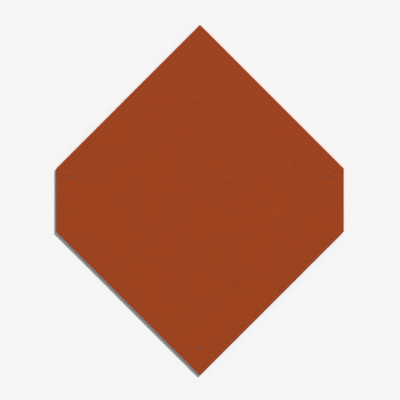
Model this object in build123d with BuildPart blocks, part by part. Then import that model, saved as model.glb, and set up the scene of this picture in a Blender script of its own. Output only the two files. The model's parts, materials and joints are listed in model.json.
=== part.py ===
"""Fibre cement roof slate for laying on the diagonal, in millimetres.

One pressed sheet, sheared square and stood on a corner.  Its left and right corners are clipped
off, square to the diagonal that joins them.  It lies face up: +Z out of the weather face, +Y up
the roof, with the tail at -Y.  The origin is on the underside, where the two diagonals of the
square cross.
"""

from build123d import *
from math import atan, degrees, sqrt
import os

# Sheet
side = 400.0  # of the square, before its corners are clipped
thickness = 4.0
clip_leg = 72.0  # cut off each side at the left and right corners
corner_radius = 1.5  # blunting of the sheared corners, seen from above
face_arris_radius = 0.6  # rounding of the face's rim by the shear and the coating
back_arris_chamfer = 0.3  # rim of the underside, broken by the shear

# Nail holes, in the head lap, one near each clipped edge
nail_hole_diameter = 4.0
nail_hole_from_clip = 22.0  # hole centre, in from the clipped edge
nail_hole_from_head_edge = 25.0  # hole centre, square in from the upper edge

# Hole above the tail, where the slate is held down against the wind
storm_hole_diameter = 4.5
storm_hole_from_tail = 45.0  # hole centre, up the diagonal from the tail's sharp corner

# The punch goes in from the face and breaks a shallow cone out of the underside
hole_mouth_radius = 0.3
breakout_width = 2.0  # of the cone all round the hole, at the underside
breakout_depth = 1.2

# Worked out from the sizes above
half_diagonal = side / sqrt(2)
half_width = (side - clip_leg) / sqrt(2)
nail_hole_x = half_width - nail_hole_from_clip
nail_hole_y = half_diagonal - nail_hole_x - nail_hole_from_head_edge * sqrt(2)
storm_hole_y = storm_hole_from_tail - half_diagonal
breakout_angle = 2 * degrees(atan(breakout_width / breakout_depth))


def from_underside(x, y):
    """A place on the underside, with its own Z pointing out of it."""
    return Location((x, y, 0), (180, 0, 0))


def punched_hole(diameter):
    """A round hole through the sheet, wider where it breaks out of the underside."""
    CounterSinkHole(
        radius=diameter / 2,
        counter_sink_radius=diameter / 2 + breakout_width,
        depth=thickness,
        counter_sink_angle=breakout_angle,
    )


with BuildPart() as slate:
    # Square on its corner, with the two side corners clipped
    with BuildSketch() as outline:
        Rectangle(side, side, rotation=45)
        corners = outline.vertices().sort_by(Axis.X)
        chamfer([corners[0], corners[-1]], length=clip_leg)
        fillet(outline.vertices(), radius=corner_radius)
    extrude(amount=thickness)

    # Rims of the two faces
    fillet(slate.faces().sort_by(Axis.Z)[-1].edges(), radius=face_arris_radius)
    chamfer(slate.faces().sort_by(Axis.Z)[0].edges(), length=back_arris_chamfer)

    # Two nail holes near the clipped edges, and one hole above the tail
    with Locations(from_underside(-nail_hole_x, nail_hole_y), from_underside(nail_hole_x, nail_hole_y)):
        punched_hole(nail_hole_diameter)
    with Locations(from_underside(0, storm_hole_y)):
        punched_hole(storm_hole_diameter)
    face = slate.faces().sort_by(Axis.Z)[-1]
    fillet(face.inner_wires().edges(), radius=hole_mouth_radius)

slate.part.label = "slate"
os.makedirs("parts", exist_ok=True)
export_step(slate.part, "parts/slate.step")
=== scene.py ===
# %% [markdown]
# # A fibre cement roof slate
#
# This lesson dresses one roof slate: a thin square sheet of cement and fibre that is laid on the
# diagonal, with its left and right corners clipped off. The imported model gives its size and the
# places of its holes. Blender adds what the press, the shears, the punch and the paint line leave
# on the real one. Every length is in metres, the tail points to -Y, and +Z comes out of the
# weather face.

import json
import math

import bmesh
import bpy
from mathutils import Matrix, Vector, geometry, noise


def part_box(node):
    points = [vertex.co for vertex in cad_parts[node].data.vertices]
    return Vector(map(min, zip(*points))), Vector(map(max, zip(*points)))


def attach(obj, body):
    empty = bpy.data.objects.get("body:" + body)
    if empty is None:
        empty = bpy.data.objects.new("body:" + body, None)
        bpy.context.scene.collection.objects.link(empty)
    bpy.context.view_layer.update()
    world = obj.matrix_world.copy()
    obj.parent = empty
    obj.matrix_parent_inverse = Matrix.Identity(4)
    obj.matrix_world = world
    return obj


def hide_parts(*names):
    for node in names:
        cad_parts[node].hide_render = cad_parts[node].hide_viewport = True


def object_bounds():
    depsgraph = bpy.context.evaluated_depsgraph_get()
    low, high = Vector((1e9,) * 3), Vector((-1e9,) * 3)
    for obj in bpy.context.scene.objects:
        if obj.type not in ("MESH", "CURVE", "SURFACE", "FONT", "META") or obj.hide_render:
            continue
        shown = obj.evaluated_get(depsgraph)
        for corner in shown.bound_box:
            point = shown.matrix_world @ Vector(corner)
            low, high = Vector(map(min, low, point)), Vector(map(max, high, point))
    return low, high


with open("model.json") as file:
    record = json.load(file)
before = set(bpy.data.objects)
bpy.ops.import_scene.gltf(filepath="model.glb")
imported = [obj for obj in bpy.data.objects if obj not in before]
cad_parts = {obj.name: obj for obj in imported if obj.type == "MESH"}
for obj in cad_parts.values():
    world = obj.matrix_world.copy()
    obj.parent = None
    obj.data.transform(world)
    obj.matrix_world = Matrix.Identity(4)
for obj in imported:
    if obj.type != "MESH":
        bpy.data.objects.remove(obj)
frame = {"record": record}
packed_low, packed_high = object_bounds()
MM = 0.001
print("packed slate, mm:", [round(length / MM, 1) for length in packed_high - packed_low])

# %% [markdown]
# ## Wires and finishes
#
# A material is a tree of nodes, and its sums are easier to read as sums. The class Wire wraps one
# socket, so that `1 - mask` or `height * 0.2` adds the Math node that does it. The class Finish
# owns the tree, and its one method `node` makes any other node: settings first, then sockets.

# %% Wire
class Wire:
    """A shader socket that can be reckoned with like a number or a vector."""

    def __init__(self, finish, socket):
        self.finish = finish
        self.socket = socket

    def __add__(self, other):
        return self.finish.reckon("ADD", self, other)

    def __radd__(self, other):
        return self.finish.reckon("ADD", other, self)

    def __sub__(self, other):
        return self.finish.reckon("SUBTRACT", self, other)

    def __rsub__(self, other):
        return self.finish.reckon("SUBTRACT", other, self)

    def __mul__(self, other):
        return self.finish.reckon("MULTIPLY", self, other)

    def __rmul__(self, other):
        return self.finish.reckon("MULTIPLY", other, self)

    def __abs__(self):
        return self.finish.reckon("ABSOLUTE", self)


print("a Wire can be added, subtracted, multiplied and made positive")


# %% Finish
class Finish:
    """A material, or a world, and the nodes that it is made of."""

    def __init__(self, owner):
        owner.use_nodes = True
        self.owner = owner
        self.tree = owner.node_tree
        self.tree.nodes.clear()

    def node(self, kind, settings=None, sockets=None, output=0):
        """Adds a node, sets it up, feeds its sockets and returns one of its outputs."""
        made = self.tree.nodes.new(kind)
        for name, value in (settings or {}).items():
            setattr(made, name, value)
        for name, value in (sockets or {}).items():
            if isinstance(value, Wire):
                self.tree.links.new(value.socket, made.inputs[name])
            else:
                made.inputs[name].default_value = value
        return Wire(self, made.outputs[output]) if made.outputs else made

    def reckon(self, operation, *terms):
        """Adds a Math node, or a Vector Math node where a term is a vector."""
        vectors = [term for term in terms if isinstance(term, Wire) and term.socket.type == "VECTOR"]
        kind = "ShaderNodeVectorMath" if vectors else "ShaderNodeMath"
        return self.node(kind, {"operation": operation}, dict(enumerate(terms)))

    def fade(self, value, start, end):
        """Rises smoothly from 0, where value is start, to 1, where it is end."""
        ends = {"Value": value, "From Min": start, "From Max": end}
        return self.node("ShaderNodeMapRange", {"interpolation_type": "SMOOTHSTEP"}, ends)

    def mix(self, mask, first, second):
        """The first colour where mask is 0, the second where it is 1."""
        # A Mix node has sockets for each type of data. Its colours are the sixth and seventh inputs
        # and the second output, counted from 0.
        ends = {"Factor": mask, 6: first, 7: second}
        return self.node("ShaderNodeMix", {"data_type": "RGBA"}, ends, 2)

    def surface(self, sockets):
        """Gives the material one Principled shader with these sockets."""
        shader = self.node("ShaderNodeBsdfPrincipled", sockets=sockets)
        self.node("ShaderNodeOutputMaterial", sockets={"Surface": shader})
        return self.owner


print("a Finish makes nodes with its method", Finish.node.__name__)

# %% [markdown]
# ## The stage
#
# A sheet this thin says most about itself when it lies flat and the camera looks straight down on
# it. The long lens keeps its sides parallel. The floor could be a curved backdrop, but from above
# only its colour and the slate's shadow matter, so a large flat square is enough. It lies a hair
# under the slate, so that the two surfaces never fight for the same place.

# %% Camera
picture_height = 0.645  # of floor that the picture takes in
lens = 135 * MM
sensor = 36 * MM

camera = bpy.data.objects.new("camera", bpy.data.cameras.new("camera"))
bpy.context.collection.objects.link(camera)
camera.data.lens = lens / MM
camera.data.sensor_width = sensor / MM
camera.location = (0, 0, packed_high.z + picture_height * lens / sensor)
bpy.context.scene.camera = camera
print("camera height, m:", round(camera.location.z, 2))

# %% Floor
floor_side = 24.0
floor_drop = 0.05 * MM
floor_white = 0.92
floor_roughness = 0.9
floor_gloss = 0.1

bpy.ops.mesh.primitive_plane_add(size=floor_side, location=(0, 0, packed_low.z - floor_drop))
floor = bpy.context.object
floor.name = "floor"
floor_finish = Finish(bpy.data.materials.new("floor_paint"))
floor_paint = floor_finish.surface({
    "Base Color": (floor_white, floor_white, floor_white, 1),
    "Roughness": floor_roughness,
    "Specular IOR Level": floor_gloss,
})
floor.data.materials.append(floor_paint)
print("floor side, m:", floor_side)

# %% [markdown]
# ## The key light
#
# A low key light from the upper right draws the slate's thickness: it catches the rounded rim on
# the upper sides and drops a shadow from the lower left one. It stands a little above the line of
# the lower right side, so that side throws a hairline of shadow too. A sun lamp keeps the face
# evenly lit from corner to corner. The rest of the light comes from all round, and the two add up
# so that a flat surface sends back just the colour that its paint is given.

# %% Sun lamp
key_elevation = math.radians(33)
key_bearing = math.radians(53)  # from +X towards +Y
key_width = math.radians(7)  # a wider lamp has a softer shadow
fill = 0.30  # share of the light that comes from all round

towards_key = Vector((
    math.cos(key_bearing) * math.cos(key_elevation),
    math.sin(key_bearing) * math.cos(key_elevation),
    math.sin(key_elevation),
))
key = bpy.data.objects.new("key_light", bpy.data.lights.new("key_light", "SUN"))
bpy.context.collection.objects.link(key)
key.data.energy = math.pi * (1 - fill) / math.sin(key_elevation)
key.data.angle = key_width
key.rotation_euler = towards_key.to_track_quat("Z", "Y").to_euler()
print("key light, W per square metre:", round(key.data.energy, 2))

# %% [markdown]
# ## The room
#
# The world is a pale room that fills the shadows from every side. It could be one plain strength,
# but then the strip that shows past the floor in a low view would be grey. So rays from the camera,
# and those that gloss or glass send on, see it white, and only the matt surfaces see the dimmer
# fill.

# %% World
world = bpy.data.worlds.new("pale_room")
bpy.context.scene.world = world
room = Finish(world)


def is_ray(kind):
    """1 for rays of a kind and 0 for the others."""
    return room.node("ShaderNodeLightPath", output=f"Is {kind} Ray")


sees_white = room.reckon("MINIMUM", is_ray("Camera") + is_ray("Glossy") + is_ray("Transmission"), 1)
room_strength = fill + sees_white * (1 - fill)
glow = room.node("ShaderNodeBackground", sockets={"Color": (1, 1, 1, 1), "Strength": room_strength})
room.node("ShaderNodeOutputWorld", sockets={"Surface": glow})
print("fill from the room:", fill)

# %% [markdown]
# ## The sheet's outline
#
# The square stands on its tail, and each side corner is clipped by a straight cut. The outline is
# walked once, corner by corner: an arc where the corner is blunted, then evenly spaced points along
# the cut. Each point keeps its outward direction, because every ring of the rim is this same walk,
# moved in by a different amount.

# %% Sizes of the sheet
slate_low, slate_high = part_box("slate")
thickness = slate_high.z - slate_low.z
half_width = slate_high.x
corner_radius = 1.5 * MM
half_diagonal = slate_high.y + corner_radius * (math.sqrt(2) - 1)
clip_height = half_diagonal - half_width  # where a sheared side meets a clipped corner
print("half the diagonal of the square, mm:", round(half_diagonal / MM, 1))

# %% Outline
outline_step = 0.9 * MM
arc_step = 0.4 * MM


def walk_outline(corners, radius):
    """Places along a blunted outline, counter-clockwise, each with its outward direction."""
    arcs = []
    for before, corner, after in zip(corners[-1:] + corners[:-1], corners, corners[1:] + corners[:1]):
        arriving = (corner - before).normalized()
        leaving = (after - corner).normalized()
        turn = arriving.angle(leaving)
        inward = Vector((-arriving.y, arriving.x))
        centre = corner - arriving * radius * math.tan(turn / 2) + inward * radius
        first_angle = math.atan2(-inward.y, -inward.x)
        count = math.ceil(turn * radius / arc_step)
        angles = [first_angle + turn * number / count for number in range(count + 1)]
        directions = [Vector((math.cos(angle), math.sin(angle))) for angle in angles]
        arcs.append([(centre + direction * radius, direction) for direction in directions])
    walk = []
    for arc, next_arc in zip(arcs, arcs[1:] + arcs[:1]):
        start, direction = arc[-1]
        end = next_arc[0][0]
        count = round((end - start).length / outline_step)
        walk += arc
        walk += [(start.lerp(end, number / count), direction) for number in range(1, count)]
    return walk


right_side = [Vector((half_width, -clip_height)), Vector((half_width, clip_height))]
left_side = [-corner for corner in right_side]
tail, head = Vector((0, -half_diagonal)), Vector((0, half_diagonal))
outline = walk_outline([tail, *right_side, head, *left_side], corner_radius)
print("outline places:", len(outline))

# %% [markdown]
# ## Rings, bands and unevenness
#
# The slate is one closed skin, built from rings of places and bands of faces between them. The cuts
# of shears and punch are never quite even, so each ring can eat a little way into the sheet. Perlin
# noise from mathutils gives an unevenness that is the same on every run. Stretching it flat makes
# ledges, because the sheet is pressed from many thin plies and breaks along them.

# %% Rings and bands
noise_stretch = 1.4  # Perlin noise seldom comes near its limits, so it is stretched to them
places = []
facets = []


def add_ring(ring):
    """Adds a closed ring of places and returns their numbers."""
    places.extend(Vector(place) for place in ring)
    return list(range(len(places) - len(ring), len(places)))


def band(upper, lower):
    """Adds the faces between two rings."""
    for here in range(len(upper)):
        after = (here + 1) % len(upper)
        facets.append((upper[here], lower[here], lower[after], upper[after]))


def stack(rings):
    """Adds the rings of a profile and the bands between them, and returns the first and last."""
    numbered = [add_ring(ring) for ring in rings]
    for upper, lower in zip(numbered, numbered[1:]):
        band(upper, lower)
    return numbered[0], numbered[-1]


def unevenness(place, along, across):
    """From 0 to 1, in lumps that are `along` long and wide, and `across` high."""
    spot = Vector((place.x / along, place.y / along, place.z / across))
    return 0.5 + 0.5 * max(-1, min(1, noise_stretch * noise.noise(spot)))


print("unevenness at the tail, from 0 to 1:", round(unevenness(tail.to_3d(), MM, MM), 2))

# %% [markdown]
# ## The sheared rim
#
# Shears press the face's rim round, cut the upper part of the edge smooth, and tear the lower part
# along the plies. The profile follows that: an arc, a smooth wall, then rows that are eaten away
# deeper and deeper, and a broken lower rim. One extra ring lies just inside each face. It holds the
# flat shading flat, so that the rounding doesn't bleed into the face.

# %% Plies and chips
ply_height = 0.45 * MM
ply_length = 5 * MM
chip_height = 0.25 * MM
chip_length = 1.8 * MM
chip_share = 0.35


def cut_lump(spot, height):
    """A cut's unevenness, from 0 to 1: ledges along the plies, and smaller chips on them."""
    there = Vector((spot.x, spot.y, height))
    ledges = unevenness(there, ply_length, ply_height)
    chips = unevenness(there, chip_length, chip_height)
    return ledges + (chips - ledges) * chip_share


def rim_ring(inset, height, bite=0.0):
    """A ring round the slate, moved in by inset and by up to bite."""
    ring = []
    for spot, outward in outline:
        spot = spot - outward * (inset + bite * cut_lump(spot, height))
        ring.append((spot.x, spot.y, height))
    return ring


print("height of the plies, mm:", round(ply_height / MM, 2))

# %% Rim
face_arris_radius = 0.6 * MM
back_arris = 0.3 * MM
face_hem = 1.1 * MM  # from the outline to where the flat face starts
back_hem = 1.25 * MM
tear_start = 2.1 * MM  # height where the smooth cut turns into a tear
shear_bite = 0.03 * MM  # unevenness of the smooth cut
tear_bite = 0.55 * MM  # how much deeper the tear goes at the underside
ragged_bite = 0.85 * MM  # unevenness of the broken lower rim
arris_rows = 6
wall_rows = 14


def rim_profile():
    """The rim's rings, from the face down to the underside."""
    rings = [rim_ring(face_hem, thickness)]
    for row in range(arris_rows):
        angle = math.pi / 2 * row / (arris_rows - 1)
        inset = face_arris_radius * (1 - math.sin(angle))
        height = thickness - face_arris_radius * (1 - math.cos(angle))
        rings.append(rim_ring(inset, height, shear_bite))
    wall_top = thickness - face_arris_radius
    for row in range(1, wall_rows):
        height = wall_top + (back_arris - wall_top) * row / wall_rows
        torn = max(0, 1 - height / tear_start)
        rings.append(rim_ring(0, height, shear_bite + tear_bite * torn))
    rings.append(rim_ring(0, back_arris, shear_bite + tear_bite))
    rings.append(rim_ring(back_arris, 0, ragged_bite))
    rings.append(rim_ring(back_hem, 0))
    return rings


rim_rings = rim_profile()
face_rim, back_rim = stack(rim_rings)
print("rim faces:", len(facets))

# %% [markdown]
# ## The punched holes
#
# The punch goes in from the face. It rolls the mouth over, cuts a clean wall, and near the
# underside it breaks a shallow crater out along the plies. The places and radii of the walls come
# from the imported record. A crater could be a plain cone, but rings whose radius wanders and whose
# heights gather at the plies look like broken cement.

# %% Holes
bores = [mount for mount in frame["record"]["mounts"] if mount["kind"] == "bore"]
holes = [(*bore["pos_m"][:2], bore["dims"]["r_mm"] * MM) for bore in bores]  # x, y and radius
crumb_length = 1.6 * MM
hole_places = 48


def hole_ring(centre, radius, height, bite=0.0):
    """A ring round a hole, widened by up to bite."""
    ring = []
    for number in range(hole_places):
        angle = 2 * math.pi * number / hole_places
        outward = Vector((math.cos(angle), math.sin(angle)))
        spot = centre + outward * radius
        lump = unevenness(Vector((spot.x, spot.y, height)), crumb_length, ply_height)
        spot = spot + outward * bite * lump
        ring.append((spot.x, spot.y, height))
    return ring


print("holes, x and y in mm:", [(round(x / MM, 1), round(y / MM, 1)) for x, y, radius in holes])

# %% Hole profile
mouth_radius = 0.3 * MM
mouth_hem = 0.9 * MM  # from the wall to where the flat face starts
punch_bite = 0.05 * MM
crater_width = 2.0 * MM
crater_depth = 1.2 * MM
crater_bite = 0.8 * MM  # unevenness of the crater's edge
crater_hem = 3.4 * MM
ledge_share = 0.55  # how far the crater's heights gather at the plies
mouth_rows = 4
hole_wall_rows = 4
crater_rows = 9


def crater_height(share):
    """The crater's height at a share of its width, partly drawn to the nearest ply."""
    slope = crater_depth * (1 - share)
    ledge = min(round(slope / ply_height) * ply_height, crater_depth)
    return slope + (ledge - slope) * ledge_share


def hole_profile(x, y, radius):
    """A punched hole's rings, from the face down to the underside."""
    centre = Vector((x, y))
    rings = [hole_ring(centre, radius + mouth_hem, thickness)]
    for row in range(mouth_rows):
        angle = math.pi / 2 * row / (mouth_rows - 1)
        height = thickness - mouth_radius * (1 - math.cos(angle))
        rings.append(hole_ring(centre, radius + mouth_radius * (1 - math.sin(angle)), height))
    wall_top = thickness - mouth_radius
    for row in range(1, hole_wall_rows):
        height = wall_top + (crater_depth - wall_top) * row / hole_wall_rows
        rings.append(hole_ring(centre, radius, height, punch_bite))
    for row in range(crater_rows):
        share = row / (crater_rows - 1)
        bite = punch_bite + (crater_bite - punch_bite) * share
        rings.append(hole_ring(centre, radius + crater_width * share, crater_height(share), bite))
    rings.append(hole_ring(centre, radius + crater_hem, 0))
    return rings


hole_stacks = [hole_profile(*hole) for hole in holes]
hole_ends = [stack(rings) for rings in hole_stacks]
face_holes = [first for first, last in hole_ends]
back_holes = [last for first, last in hole_ends]
print("faces with the holes:", len(facets))

# %% [markdown]
# ## The two faces
#
# Each face is sown with places on a hexagonal grid, and a constrained Delaunay triangulation joins
# them to the rings. It needs no modifier, and it keeps every ring as it is. Two rings of places
# round each hole lead from its fine spacing to the grid's. A triangle with all three corners on one
# hole's ring spans the hole, so it is left out.

# %% Distances on the sheet
def from_edge(x, y):
    """How far inside the nearest sheared edge a place is."""
    return min((half_diagonal - abs(x) - abs(y)) / math.sqrt(2), half_width - abs(x))


def from_hole(x, y):
    """How far outside the nearest hole's wall a place is."""
    return min(math.hypot(x - hole_x, y - hole_y) - radius for hole_x, hole_y, radius in holes)


print("middle of the sheet to its edge, mm:", round(from_edge(0, 0) / MM, 1))

# %% Sow the faces
grid = 3.0 * MM
rim_gap = 0.5 * grid  # from the rim's hem to the nearest sown place
hole_gap = 1.3 * grid  # from a hole's hem, which leaves room for its leading rings
lead_rings = ((0.3 * grid, 28), (0.8 * grid, 20))  # distance past the hem, and places


def sow(rim_hem, hole_hem):
    """Places on a hexagonal grid, clear of the rim and the holes."""
    sown = []
    row_gap = grid * math.sqrt(3) / 2
    rows = int(half_diagonal / row_gap) + 1
    columns = int(half_width / grid) + 1
    for row in range(-rows, rows + 1):
        for column in range(-columns, columns + 1):
            x = (column + row % 2 / 2) * grid
            y = row * row_gap
            if from_edge(x, y) > rim_hem + rim_gap and from_hole(x, y) > hole_hem + hole_gap:
                sown.append(Vector((x, y)))
    for hole_x, hole_y, radius in holes:
        for reach, count in lead_rings:
            for number in range(count):
                angle = 2 * math.pi * (number + 0.5) / count
                outward = Vector((math.cos(angle), math.sin(angle)))
                sown.append(Vector((hole_x, hole_y)) + outward * (radius + hole_hem + reach))
    return sown


face_sown, back_sown = sow(face_hem, mouth_hem), sow(back_hem, crater_hem)
print("places sown:", len(face_sown), "on the face,", len(back_sown), "on the underside")

# %% Fill the faces
triangles_inside = 1  # asks for the triangles within the fences
merge_distance = 1e-9


def fill_face(rim, hole_rings, sown, height):
    """Fills a face between its rings."""
    numbers = list(rim)
    fences = [(here, (here + 1) % len(rim)) for here in range(len(rim))]
    for ring in hole_rings:
        first = len(numbers)
        fences += [(first + here, first + (here + 1) % len(ring)) for here in range(len(ring))]
        numbers += ring
    flat = [places[number].xy for number in numbers] + sown
    numbers += add_ring([(spot.x, spot.y, height) for spot in sown])
    found = geometry.delaunay_2d_cdt(flat, fences, [], triangles_inside, merge_distance)
    came_from = [sources[0] for sources in found[3]]
    for triangle in found[2]:
        corners = [numbers[came_from[corner]] for corner in triangle]
        if not any(all(corner in ring for corner in corners) for ring in hole_rings):
            facets.append(tuple(corners))


first_face = len(facets)
fill_face(face_rim, face_holes, face_sown, thickness)
first_back = len(facets)
fill_face(back_rim, back_holes, back_sown, 0)
print("faces in all:", len(facets))

# %% [markdown]
# ## The press
#
# A pressed sheet is flat, but not like glass. The felt below it and the steel plate above it leave
# broad waves of a few tenths of a millimetre, with smaller ones on them, and they show when light
# grazes the face. A displacement modifier could make them, but here the whole sheet is pressed
# at once: each place keeps its share of the thickness between two wavy faces, so the waves run on
# over the rim and round the holes. The highest point stays at the sheet's full thickness, and the
# lowest on the floor.

# %% Waves
waves = ((95 * MM, 0.24 * MM), (26 * MM, 0.06 * MM), (10 * MM, 0.03 * MM))  # length and depth
back_share = 0.5  # the underside's waves are flatter
face_slice, back_slice = 1.5, 7.5  # where each face cuts through the noise


def dips(first_slice):
    """How far a wavy face lies inside the sheet's flat one, at each place."""
    found = []
    for place in places:
        dip = 0
        for number, (length, depth) in enumerate(waves):
            spot = Vector((place.x, place.y, first_slice + number))
            dip += depth * unevenness(spot, along=length, across=1)
        found.append(dip)
    shallowest = min(found)
    return [dip - shallowest for dip in found]


face_dips, back_dips = dips(face_slice), dips(back_slice)
for spot, face_dip, back_dip in zip(places, face_dips, back_dips):
    low = back_dip * back_share
    high = thickness - face_dip
    spot.z = low + (high - low) * spot.z / thickness
print("deepest wave of the face, mm:", round(max(face_dips) / MM, 2))

# %% [markdown]
# ## One closed skin
#
# Rings and triangles share their places, so they make one closed mesh. bmesh turns all faces
# outwards and counts the edges that don't have a face on both sides, which should be none. Faces
# are shaded smooth, and edges that turn sharply, such as the broken lower rim, stay crisp.

# %% Slate object
crisp_angle = math.radians(38)
slate_mesh = bpy.data.meshes.new("roof_slate")
slate_mesh.from_pydata(places, [], facets)
skin = bmesh.new()
skin.from_mesh(slate_mesh)
bmesh.ops.recalc_face_normals(skin, faces=skin.faces)
open_edges = sum(not edge.is_manifold for edge in skin.edges)
skin.to_mesh(slate_mesh)
skin.free()
slate_mesh.shade_smooth()
slate_mesh.set_sharp_from_angle(angle=crisp_angle)
roof_slate = bpy.data.objects.new("roof_slate", slate_mesh)
bpy.context.collection.objects.link(roof_slate)
triangles = sum(len(face.vertices) - 2 for face in slate_mesh.polygons)
print("triangles:", triangles, "open edges:", open_edges)

# %% [markdown]
# ## A map of the skin
#
# The finish below is made of nodes, and where those can't run it is baked into pictures. A picture
# needs a map that gives each face its own place on it. Blender can unwrap a mesh by itself, but then
# the thin edge gets a few pixels and the craters fall apart into crumbs. Here the two faces lie side
# by side, as they are, and the rings of the edge and the holes unroll into lanes above them. The
# lanes are drawn out in height, so that the plies stay sharp.

# %% Places on the map
map_gap = 0.006  # round each part of the map, whose own sides are 1 long
face_side = (1 - 3 * map_gap) / 2
face_scale = face_side / (half_diagonal * math.sqrt(2))
back_left = face_side + 2 * map_gap  # where the underside's part of the map starts
rim_lanes = 4  # that the edge is cut into
rim_lane_height = 0.1
hole_lane_height = 0.06
lanes_low = face_side + 2 * map_gap


def flat_spot(place, left, mirror):
    """A place of a flat face on the map, with its sheared sides level.

    The underside is seen from below, so its mirror is -1.
    """
    u = (place.x + place.y) * math.sqrt(0.5) * face_scale
    v = (place.y - place.x) * math.sqrt(0.5) * face_scale * mirror
    return left + face_side / 2 + u, map_gap + face_side / 2 + v


def lane_cell(left, top, width, height, column, row):
    """The four corners of a cell in a lane, in the order that band gives a face's corners."""
    near, far = left + width * column, left + width * (column + 1)
    upper, lower = top - height * row, top - height * (row + 1)
    return (near, upper), (near, lower), (far, lower), (far, upper)


print("the map shows a face at", round(face_side, 3), "of its side")

# %% Unroll the skin
per_lane = math.ceil(len(outline) / rim_lanes)  # places of the outline
rim_cell = ((1 - 2 * map_gap) / per_lane, rim_lane_height / (len(rim_rings) - 1))  # width, height
spots_on_map = []  # in the order of the facets: the rim, the holes, the face and the underside
for row in range(len(rim_rings) - 1):
    for number in range(len(outline)):
        lane, column = divmod(number, per_lane)
        top = lanes_low + rim_lane_height + lane * (rim_lane_height + map_gap)
        spots_on_map.append(lane_cell(map_gap, top, *rim_cell, column, row))
hole_lane_width = (1 - (len(holes) + 1) * map_gap) / len(holes)
hole_top = 1 - map_gap
for number, rings in enumerate(hole_stacks):
    left = map_gap + number * (hole_lane_width + map_gap)
    hole_cell = (hole_lane_width / hole_places, hole_lane_height / (len(rings) - 1))
    for row in range(len(rings) - 1):
        for column in range(hole_places):
            spots_on_map.append(lane_cell(left, hole_top, *hole_cell, column, row))
for facet in facets[first_face:first_back]:
    spots_on_map.append([flat_spot(places[corner], map_gap, mirror=1) for corner in facet])
for facet in facets[first_back:]:
    spots_on_map.append([flat_spot(places[corner], back_left, mirror=-1) for corner in facet])
print("faces on the map:", len(spots_on_map), "of", len(facets))

# %% Skin map
skin_map = slate_mesh.uv_layers.new(name="OFBake")  # the map for the baked pictures
for face, facet, spots in zip(slate_mesh.polygons, facets, spots_on_map):
    spot_of = dict(zip(facet, spots))
    for corner in face.loop_indices:
        skin_map.uv[corner].vector = spot_of[slate_mesh.loops[corner].vertex_index]
print("corners on the map:", len(skin_map.uv))

# %% [markdown]
# ## Where the finish changes
#
# The paint covers the weather face and runs over the edges, and the underside stays bare. The masks
# for that could be painted by hand, but the finish depends only on where a place is, so it is
# reckoned from its distance to the edges and the holes. Object coordinates are the sheet's own
# metres.

# %% Places in the finish
slate_finish = Finish(bpy.data.materials.new("coated_fibre_cement"))
fade = slate_finish.fade
mix = slate_finish.mix
position = slate_finish.node("ShaderNodeTexCoord", output="Object")


def part(vector, axis):
    """One coordinate of a vector."""
    return slate_finish.node("ShaderNodeSeparateXYZ", sockets={"Vector": vector}, output=axis)


x, y, z = [part(position, axis) for axis in "XYZ"]
along = (x + y) * math.sqrt(0.5)  # the way that the sheet came off its drum, along one side
across = (x - y) * math.sqrt(0.5)
to_side = (half_diagonal - abs(x) - abs(y)) * math.sqrt(0.5)
edge_distance = slate_finish.reckon("MINIMUM", to_side, half_width - abs(x))


def distance_to(hole_x, hole_y, radius):
    """How far a place is outside a hole's wall."""
    ends = {0: position * (1, 1, 0), 1: (hole_x, hole_y, 0)}
    return slate_finish.node("ShaderNodeVectorMath", {"operation": "DISTANCE"}, ends, "Value") - radius


hole_distance = distance_to(*holes[0])
for hole in holes[1:]:
    hole_distance = slate_finish.reckon("MINIMUM", hole_distance, distance_to(*hole))
print("nodes for the places:", len(slate_finish.tree.nodes))

# %% [markdown]
# ## Grain and fibres
#
# Most of what a surface like this shows is noise of a known size, so `grain` takes the length of
# its lumps. Fibres are different: they are separate hairs, a few millimetres long, that lie every
# way. A Voronoi texture gives each cell a middle and a random colour. The colour turns the cell's
# own axes and bends one of them, and the hair is drawn along it. Noise then hides parts of the
# hairs, because a real one dives into the cement and comes out again.

# %% Grain
grain_roughness = 0.55  # how much each finer octave counts
speck_core = 0.5  # share of a speck's half width that is quite clear


def grain(length, detail=2.0, stretch=(1, 1, 1), shift=0.0):
    """Noise from 0 to 1 with lumps about `length` long.

    detail is the number of finer octaves on them, and shift picks another part of the noise.
    """
    spot = position * tuple(share / length for share in stretch) + (shift, shift, shift)
    sockets = {"Vector": spot, "Scale": 1.0, "Detail": detail, "Roughness": grain_roughness}
    return slate_finish.node("ShaderNodeTexNoise", sockets=sockets)


def blend(layers, shares):
    """The sum of some layers, each times its share."""
    return sum(layer * share for layer, share in zip(layers, shares))


def specks(gap, size, shift):
    """1 in small round specks about `gap` apart, and 0 between them."""
    cells = {"Vector": position + (shift, shift, shift), "Scale": 1 / gap}
    from_middle = slate_finish.node("ShaderNodeTexVoronoi", sockets=cells)
    return fade(from_middle, size / gap, speck_core * size / gap)


print("each finer octave counts:", grain_roughness)

# %% Fibres
hair_bend = 0.8  # sideways, where a hair is one cell from its middle
hair_reach = (0.2, 0.45)  # shortest and longest half length, in cells
hair_core = 0.2  # share of a hair's half width that is quite clear
hair_tip = 0.8  # share of its reach where it starts to fade
hair_cells = ((8 * MM, 0.15 * MM, 3.0), (6 * MM, 0.11 * MM, 8.0))  # cell, half width and shift
dive_length = 3 * MM
dive_ends = (0.42, 0.58)  # of the noise, where a hair is hidden and where it is quite clear


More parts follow.
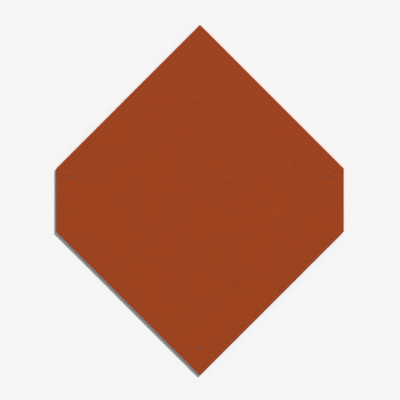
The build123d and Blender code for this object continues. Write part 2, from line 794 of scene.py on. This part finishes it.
def fibres(cell, width, shift):
    """1 on hairs of a half width, one to each cell, and 0 between them."""
    spot = position * (1 / cell, 1 / cell, 0) + (shift, shift, 0)
    cells = {"Vector": spot, "Scale": 1.0}
    middle, dice = [
        slate_finish.node("ShaderNodeTexVoronoi", {"voronoi_dimensions": "2D"}, cells, output)
        for output in ("Position", "Color")
    ]
    turn = {"Vector": spot - middle, "Angle": part(dice, "X") * math.pi}
    own = slate_finish.node("ShaderNodeVectorRotate", {"rotation_type": "Z_AXIS"}, turn)
    lengthwise, sideways = part(own, "X"), part(own, "Y")
    bend = (part(dice, "Y") - 0.5) * hair_bend
    off_line = abs(sideways + bend * lengthwise * lengthwise)
    reach = hair_reach[0] + part(dice, "Z") * (hair_reach[1] - hair_reach[0])
    across_hair = fade(off_line, width / cell, hair_core * width / cell)
    return across_hair * fade(abs(lengthwise), reach, reach * hair_tip)


whole_hairs = sum(fibres(*cells) for cells in hair_cells)
hairs = whole_hairs * fade(grain(dive_length, detail=1, shift=5), *dive_ends)
print("nodes with the fibres:", len(slate_finish.tree.nodes))

# %% [markdown]
# ## The paint
#
# Factory paint is very even. What keeps it from looking like a flat colour is faint: mostly a grit
# as fine as sand and a mottle of dried drops, and behind them clouds as wide as a hand, where the
# coat is thicker, and streaks that run the way the sheet came off its drum. The paint pulls back
# from the rounded rim and is a shade darker there, and now and then a grain of dark pigment shows.
# A picture of paint could give all this, but noise of the right lengths never repeats and never
# runs out of detail.

# %% Paint colour
paint_light = (0.370, 0.0566, 0.0092, 1)
paint_dark = (0.277, 0.0404, 0.0059, 1)
pigment = (0.17, 0.030, 0.010, 1)
cloud_length = 70 * MM
mottle_length = 3.5 * MM
grit_length = 0.9 * MM
streak_lengths = (170 * MM, 7 * MM)  # along and across the drum's direction
tone_shares = (0.08, 0.28, 0.08, 0.56)  # of the clouds, the mottle, the streaks and the grit
tone_ends = (0.34, 0.66)  # of the noise, for the darkest and the lightest paint
rim_thinning = 0.6  # how far the rim's paint goes to the dark tone
pigment_spread = (11 * MM, 0.55 * MM)  # from grain to grain, and half a grain's width
pigment_clearness = 0.5

clouds = grain(cloud_length, detail=3)
mottle = grain(mottle_length, detail=3, shift=3)
grit = grain(grit_length, shift=7)
streak_spot = {"X": along * (1 / streak_lengths[0]), "Y": across * (1 / streak_lengths[1])}
streak_place = slate_finish.node("ShaderNodeCombineXYZ", sockets=streak_spot)
streaks = slate_finish.node("ShaderNodeTexNoise", sockets={"Vector": streak_place, "Scale": 1.0})
paint_tone = fade(blend((clouds, mottle, streaks, grit), tone_shares), *tone_ends)
thin = fade(edge_distance, face_hem, 0) * rim_thinning
even_paint = mix(paint_tone * (1 - thin), paint_dark, paint_light)
paint = mix(specks(*pigment_spread, shift=0) * pigment_clearness, even_paint, pigment)
print("paint tones:", paint_dark[:3], paint_light[:3])

# %% [markdown]
# ## The cut edges
#
# On the cut edges the paint sinks into the torn plies. They look duller and a little darker than
# the face, with fine level lines, and coarser below, where the cut turns into a tear. The plies are
# the same noise as the rest, pressed flat ten times over in height.

# %% Cut colour
cut_paint = (0.225, 0.036, 0.009, 1)
cut_top = thickness - 0.7 * MM  # the cut's look starts under the rounded rim
cut_blend = 0.4 * MM
cut_reach = (1.5 * MM, 1.8 * MM)  # in from the outline, where the cut's look fades and ends
tear_blend = (0.2 * MM, 0.5 * MM)  # above and below tear_start
ply_wave, ply_flatness = 4 * MM, 10
crumb_grain = 0.8 * MM
cut_shares = (0.7, 0.3)  # of plies and crumbs
cut_ends = (0.3, 0.7)
cut_cover = 0.85

rim_distance = slate_finish.reckon("MINIMUM", edge_distance, hole_distance)
cut = fade(rim_distance, cut_reach[1], cut_reach[0]) * fade(z, cut_top, cut_top - cut_blend)
torn = cut * fade(z, tear_start + tear_blend[0], tear_start - tear_blend[1])
plies = grain(ply_wave, stretch=(1, 1, ply_flatness), shift=9)
crumbs = grain(crumb_grain, shift=13)
cut_tone = fade(blend((plies, crumbs), cut_shares), *cut_ends)
coated_colour = mix(cut * cut_cover, paint, mix(cut_tone, cut_paint, paint_dark))
print("nodes with the cuts:", len(slate_finish.tree.nodes))

# %% [markdown]
# ## The bare cement
#
# The underside keeps the grey of cement, warmed by pigment dust, with the weave of the felt that
# carried the wet sheet and faint streaks the way it ran. Two crossed sine waves make the weave, and
# noise bends them so that the threads aren't ruled. In a crater the punch has broken the skin away,
# so fresh cement shows there, paler and rougher than the skin round it.

# %% Cement
cement_light = (0.41, 0.355, 0.295, 1)
cement_dark = (0.29, 0.245, 0.20, 1)
fresh_light = (0.52, 0.475, 0.415, 1)
fresh_dark = (0.36, 0.32, 0.275, 1)
felt_pitch = 2.0 * MM
felt_wander = 2.0 * MM
felt_lumps = 12 * MM
stain_length = 55 * MM
dust_length = 2.5 * MM
skin_shares = (0.40, 0.32, 0.28, 0.035, 0.11)  # of stains, dust, streaks, weave and hairs
skin_ends = (0.30, 0.74)
fresh_shares = (0.6, 0.4)  # of crumbs and plies
fresh_ends = (0.35, 0.65)
skin_height = 0.25 * MM  # the waves of the underside stay lower than this
break_blend = 0.12 * MM


def thread(distance):
    """A wave that repeats at the felt's pitch."""
    turns = distance * (2 * math.pi / felt_pitch)
    return slate_finish.reckon("SINE", turns)


warp = (grain(felt_lumps, shift=17) - 0.5) * felt_wander
weft = (grain(felt_lumps, shift=71) - 0.5) * felt_wander
stains = grain(stain_length, detail=4, shift=21)
dust = grain(dust_length, detail=3, shift=31)
weave = thread(along + warp) * thread(across + weft) * (stains + dust)
skin_tone = fade(blend((stains, dust, streaks, weave, hairs), skin_shares), *skin_ends)
skin_colour = mix(skin_tone, cement_dark, cement_light)
fresh_tone = fade(blend((crumbs, plies), fresh_shares), *fresh_ends)
broken = fade(z, skin_height, skin_height + break_blend)
cement = mix(broken, skin_colour, mix(fresh_tone, fresh_dark, fresh_light))
print("nodes with the cement:", len(slate_finish.tree.nodes))

# %% [markdown]
# ## Where the paint ends
#
# The slate is sprayed face up, so some spray drifts round the edges onto the underside and fades
# within a few millimetres, unevenly. In the holes it reaches only part of the way down. Masks could
# be cut with a sharp edge, but spray has none, so each one fades and noise moves it about.

# %% Bare and coated
spray_reach = 7 * MM
spray_full = 0.5 * MM  # the spray covers well up to here
spray_scatter = 9 * MM
spray_cover = 0.92
coat_end = 1.9 * MM  # height in the holes where the paint stops
coat_blend = 0.5 * MM
coat_raggedness = 1 * MM
crater_blend = 0.3 * MM

drift = edge_distance + (grain(spray_scatter, detail=4, shift=41) - 0.5) * spray_scatter
sprayed = fade(drift, spray_reach, spray_full) * spray_cover
underside = fade(z, 2 * skin_height, skin_height) * (1 - sprayed)
ragged = z + (crumbs - 0.5) * coat_raggedness
in_hole = fade(hole_distance, crater_hem, crater_hem - crater_blend)
unpainted = in_hole * fade(ragged, coat_end, coat_end - coat_blend)
bare = slate_finish.reckon("MAXIMUM", underside, unpainted)
colour = mix(bare, coated_colour, cement)
print("nodes with the bare parts:", len(slate_finish.tree.nodes))

# %% [markdown]
# ## Gloss and relief
#
# The paint has the dull sheen of a dried water-based coat, a little uneven where it is thicker. Its
# relief is low: a skin like orange peel, a fine tooth, sparse pinholes, and the fibres just under
# the coat. Relief this fine would need millions of faces, so it is a height in millimetres for a
# Bump node, which tilts the light and leaves the mesh as it is.

# %% Relief, in millimetres
peel_length = 2.6 * MM
tooth_length = 0.7 * MM
coat_depths = (0.07, 0.018, 0.005, 0.02)  # of the peel, the tooth, the hairs and the streaks
pinhole_spread = (9 * MM, 0.4 * MM)  # from hole to hole, and half a hole's width
pinhole_depth = 0.05
cut_depth = 0.10
tear_depths = (0.08, 0.08)  # of the plies and the crumbs, on top of the cut's
skin_depths = (0.02, 0.05, 0.02, 0.02)  # of the weave, the dust, the tooth and the hairs
fresh_depths = (0.16, 0.10)  # of the crumbs and the plies

peel = grain(peel_length, shift=51)
tooth = grain(tooth_length, detail=3, shift=55)
coat_relief = blend((peel, tooth, hairs, streaks), coat_depths)
face_relief = coat_relief - specks(*pinhole_spread, shift=0.5) * pinhole_depth
cut_relief = plies * cut_depth + torn * blend((plies, crumbs), tear_depths)
skin_relief = blend((weave, dust, tooth, hairs), skin_depths)
fresh_relief = blend((crumbs, plies), fresh_depths)
bare_relief = skin_relief * (1 - broken) + fresh_relief * broken
coated_relief = face_relief * (1 - cut) + cut_relief * cut
relief = coated_relief * (1 - bare) + bare_relief * bare
print("nodes with the relief:", len(slate_finish.tree.nodes))

# %% Shader
paint_gloss = 0.13  # this coat reflects much less than bare plastic does
least_roughness = 0.66
dulling = (0.08, 0.06, 0.08, 0.18)  # by the clouds, the mottle, the cuts and the bare cement

roughness = least_roughness + blend((clouds, mottle, cut, bare), dulling)
bump = {"Strength": 1.0, "Distance": MM, "Height": relief}
normal = slate_finish.node("ShaderNodeBump", sockets=bump)
slate_coat = slate_finish.surface({
    "Base Color": colour,
    "Roughness": roughness,
    "Specular IOR Level": paint_gloss,
    "Normal": normal,
})
roof_slate.data.materials.append(slate_coat)
print("nodes in the slate's finish:", len(slate_finish.tree.nodes))

# %% [markdown]
# ## Hand over
#
# The dressed slate rides on the part's one body and stands for the plain solid.

# %% Ride and replace
bpy.context.scene.view_settings.view_transform = "Standard"
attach(roof_slate, "root")
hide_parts("slate")
